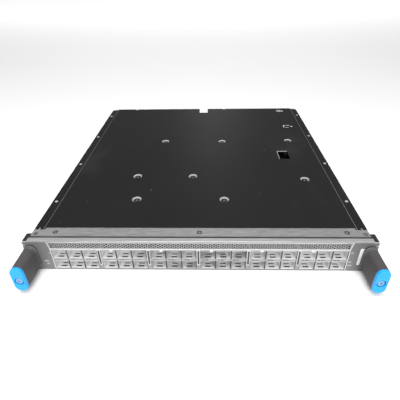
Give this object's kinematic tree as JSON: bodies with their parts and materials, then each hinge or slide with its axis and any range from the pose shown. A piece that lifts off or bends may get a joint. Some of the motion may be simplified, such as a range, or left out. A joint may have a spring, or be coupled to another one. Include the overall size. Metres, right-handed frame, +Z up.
{
  "type": "switch line card",
  "caption": "Flat rack-wide line card: black sheet cover with dimples, metal front rail, vented face with two rows of pluggable ports and two forward ejector levers with blue caps.",
  "frame": {"origin": "under the middle of the whole card, on the surface it lies on", "axes": "+X across the card to the right as seen from the face, +Y from the face to the rear connectors, +Z up through the cover"},
  "size_m": [0.44, 0.5136, 0.048],
  "materials": {
    "black_plastic": "moulded, matt",
    "bright_face_steel": "bright zinc plated",
    "cage_steel": "tin plated",
    "cap_blue": "smooth moulded",
    "chip_package": "moulded",
    "circuit_board": "solder mask",
    "connector_plastic": "moulded",
    "cover_black": "satin black powder coat",
    "front_rail_metal": "brushed",
    "gasket_foam": "conductive cloth over foam",
    "grip_dark": "fine moulded texture",
    "guide_metal": "plated casting",
    "heat_sink_aluminium": "extruded",
    "lever_black": "die casting, black",
    "module_case": "satin",
    "overlay_grey": "satin printed film",
    "pin_steel": "turned",
    "post_steel": "plated",
    "screw_steel": "zinc plated",
    "tray_steel": "satin black powder coat"
  },
  "bodies": {
    "card": {"board_standoffs": "post_steel", "bottom_front_rail": "front_rail_metal", "chassis_tray": "tray_steel", "cover_dimple_screws": "screw_steel", "cover_posts": "post_steel", "cover_side_screws": "screw_steel", "emi_gasket": "gasket_foam", "face_fasteners": "screw_steel", "faceplate": "bright_face_steel", "heat_sinks": "heat_sink_aluminium", "left_end_overlay": "overlay_grey", "left_lever_bracket": "post_steel", "left_pivot_pin": "pin_steel", "lower_cage_1": "cage_steel", "lower_cage_2": "cage_steel", "lower_cage_3": "cage_steel", "lower_cage_4": "cage_steel", "lower_cage_5": "cage_steel", "lower_cage_6": "cage_steel", "lower_port_sockets": "black_plastic", "main_board": "circuit_board", "port_divider_bars": "bright_face_steel", "port_group_webs": "bright_face_steel", "port_row_strip": "bright_face_steel", "power_modules": "module_case", "rail_end_shoes": "black_plastic", "rail_screws": "screw_steel", "rear_guide_sockets": "guide_metal", "rear_power_connector": "connector_plastic", "rear_signal_connectors": "connector_plastic", "retimer_chips": "chip_package", "right_end_overlay": "overlay_grey", "right_lever_bracket": "post_steel", "right_pivot_pin": "pin_steel", "switch_chips": "chip_package", "top_cover": "cover_black", "top_front_rail": "front_rail_metal", "upper_cage_1": "cage_steel", "upper_cage_2": "cage_steel", "upper_cage_3": "cage_steel", "upper_cage_4": "cage_steel", "upper_cage_5": "cage_steel", "upper_cage_6": "cage_steel", "upper_port_sockets": "black_plastic", "vent_grille": "bright_face_steel"},
    "left_lever_body": {"left_lever": "lever_black", "left_grip": "grip_dark", "left_grip_cap": "cap_blue"},
    "left_screw_body": {"left_captive_screw": "pin_steel"},
    "right_lever_body": {"right_lever": "lever_black", "right_grip": "grip_dark", "right_grip_cap": "cap_blue"},
    "right_screw_body": {"right_captive_screw": "pin_steel"}
  },
  "joints": [
    {"name": "left_lever_swing", "type": "hinge", "parent": "card", "child": "left_lever_body", "pos_m": [-0.2081, -0.1991, 0.024], "axis": [0, 0, -1], "range_deg": [0, 55]},
    {"name": "left_captive_travel", "type": "slide", "parent": "left_lever_body", "child": "left_screw_body", "axis": [0, -1, 0], "range_m": [-0.005, 0]},
    {"name": "right_lever_swing", "type": "hinge", "parent": "card", "child": "right_lever_body", "pos_m": [0.2081, -0.1991, 0.024], "axis": [0, 0, 1], "range_deg": [0, 55]},
    {"name": "right_captive_travel", "type": "slide", "parent": "right_lever_body", "child": "right_screw_body", "axis": [0, -1, 0], "range_m": [-0.005, 0]}
  ]
}
